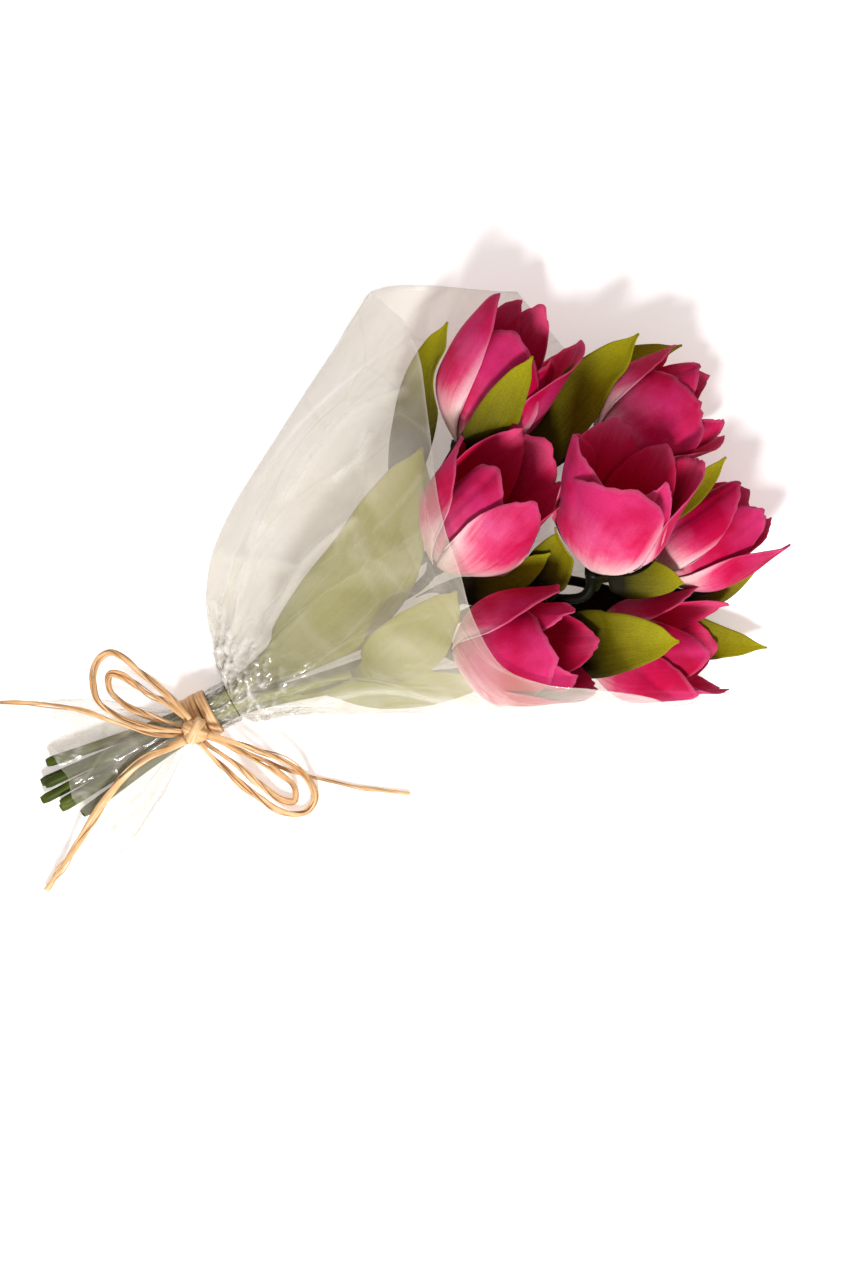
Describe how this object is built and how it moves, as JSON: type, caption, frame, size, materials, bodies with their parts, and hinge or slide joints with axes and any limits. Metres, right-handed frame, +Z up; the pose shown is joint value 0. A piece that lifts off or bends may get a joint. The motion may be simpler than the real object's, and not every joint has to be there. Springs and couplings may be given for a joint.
{
  "type": "bunch of artificial tulips in a film sleeve",
  "caption": "Bunch of fabric tulips with leaves, wrapped in a clear film sleeve and tied with a raffia bow, lying down.",
  "frame": {"origin": "middle of the bunch on the table, under the middle of its outline, the free raffia left out", "axes": "+X along the bunch from the cut stem ends to the flowers, +Y to the bunch's left side as seen from above with the flowers ahead, +Z up"},
  "size_m": [0.3333, 0.2093, 0.0817],
  "materials": {
    "petal_fabric": "matt dyed polyester, pale at the foot and edges",
    "inner_petal_fabric": "matt dyed polyester, deep red inside",
    "leaf_fabric": "matt olive polyester with pressed veins",
    "stem_plastic": "satin dark green coating on wire",
    "clear_film": "clear crinkled film",
    "raffia": "dry natural leaf fibre, satin"
  },
  "bodies": {
    "root": {"tulip1_outer_petals": "petal_fabric", "tulip1_inner_petals": "inner_petal_fabric", "tulip1_stem": "stem_plastic", "tulip1_leaf_a": "leaf_fabric", "tulip1_leaf_b": "leaf_fabric", "tulip2_outer_petals": "petal_fabric", "tulip2_inner_petals": "inner_petal_fabric", "tulip2_stem": "stem_plastic", "tulip2_leaf_a": "leaf_fabric", "tulip2_leaf_b": "leaf_fabric", "tulip3_outer_petals": "petal_fabric", "tulip3_inner_petals": "inner_petal_fabric", "tulip3_stem": "stem_plastic", "tulip3_leaf_a": "leaf_fabric", "tulip3_leaf_b": "leaf_fabric", "tulip4_outer_petals": "petal_fabric", "tulip4_inner_petals": "inner_petal_fabric", "tulip4_stem": "stem_plastic", "tulip4_leaf_a": "leaf_fabric", "tulip4_leaf_b": "leaf_fabric", "tulip5_outer_petals": "petal_fabric", "tulip5_inner_petals": "inner_petal_fabric", "tulip5_stem": "stem_plastic", "tulip5_leaf_a": "leaf_fabric", "tulip5_leaf_b": "leaf_fabric", "tulip6_outer_petals": "petal_fabric", "tulip6_inner_petals": "inner_petal_fabric", "tulip6_stem": "stem_plastic", "tulip6_leaf_a": "leaf_fabric", "tulip6_leaf_b": "leaf_fabric", "tulip7_outer_petals": "petal_fabric", "tulip7_inner_petals": "inner_petal_fabric", "tulip7_stem": "stem_plastic", "tulip7_leaf_a": "leaf_fabric", "tulip7_leaf_b": "leaf_fabric", "sleeve_back": "clear_film", "sleeve_front": "clear_film", "sleeve_skirt": "clear_film", "raffia_wrap": "raffia", "raffia_knot": "raffia", "raffia_loop_left_outer": "raffia", "raffia_loop_left_inner": "raffia", "raffia_loop_right_outer": "raffia", "raffia_loop_right_inner": "raffia", "raffia_tail_left_thin": "raffia", "raffia_tail_left_wide": "raffia", "raffia_tail_right": "raffia"}
  },
  "joints": []
}
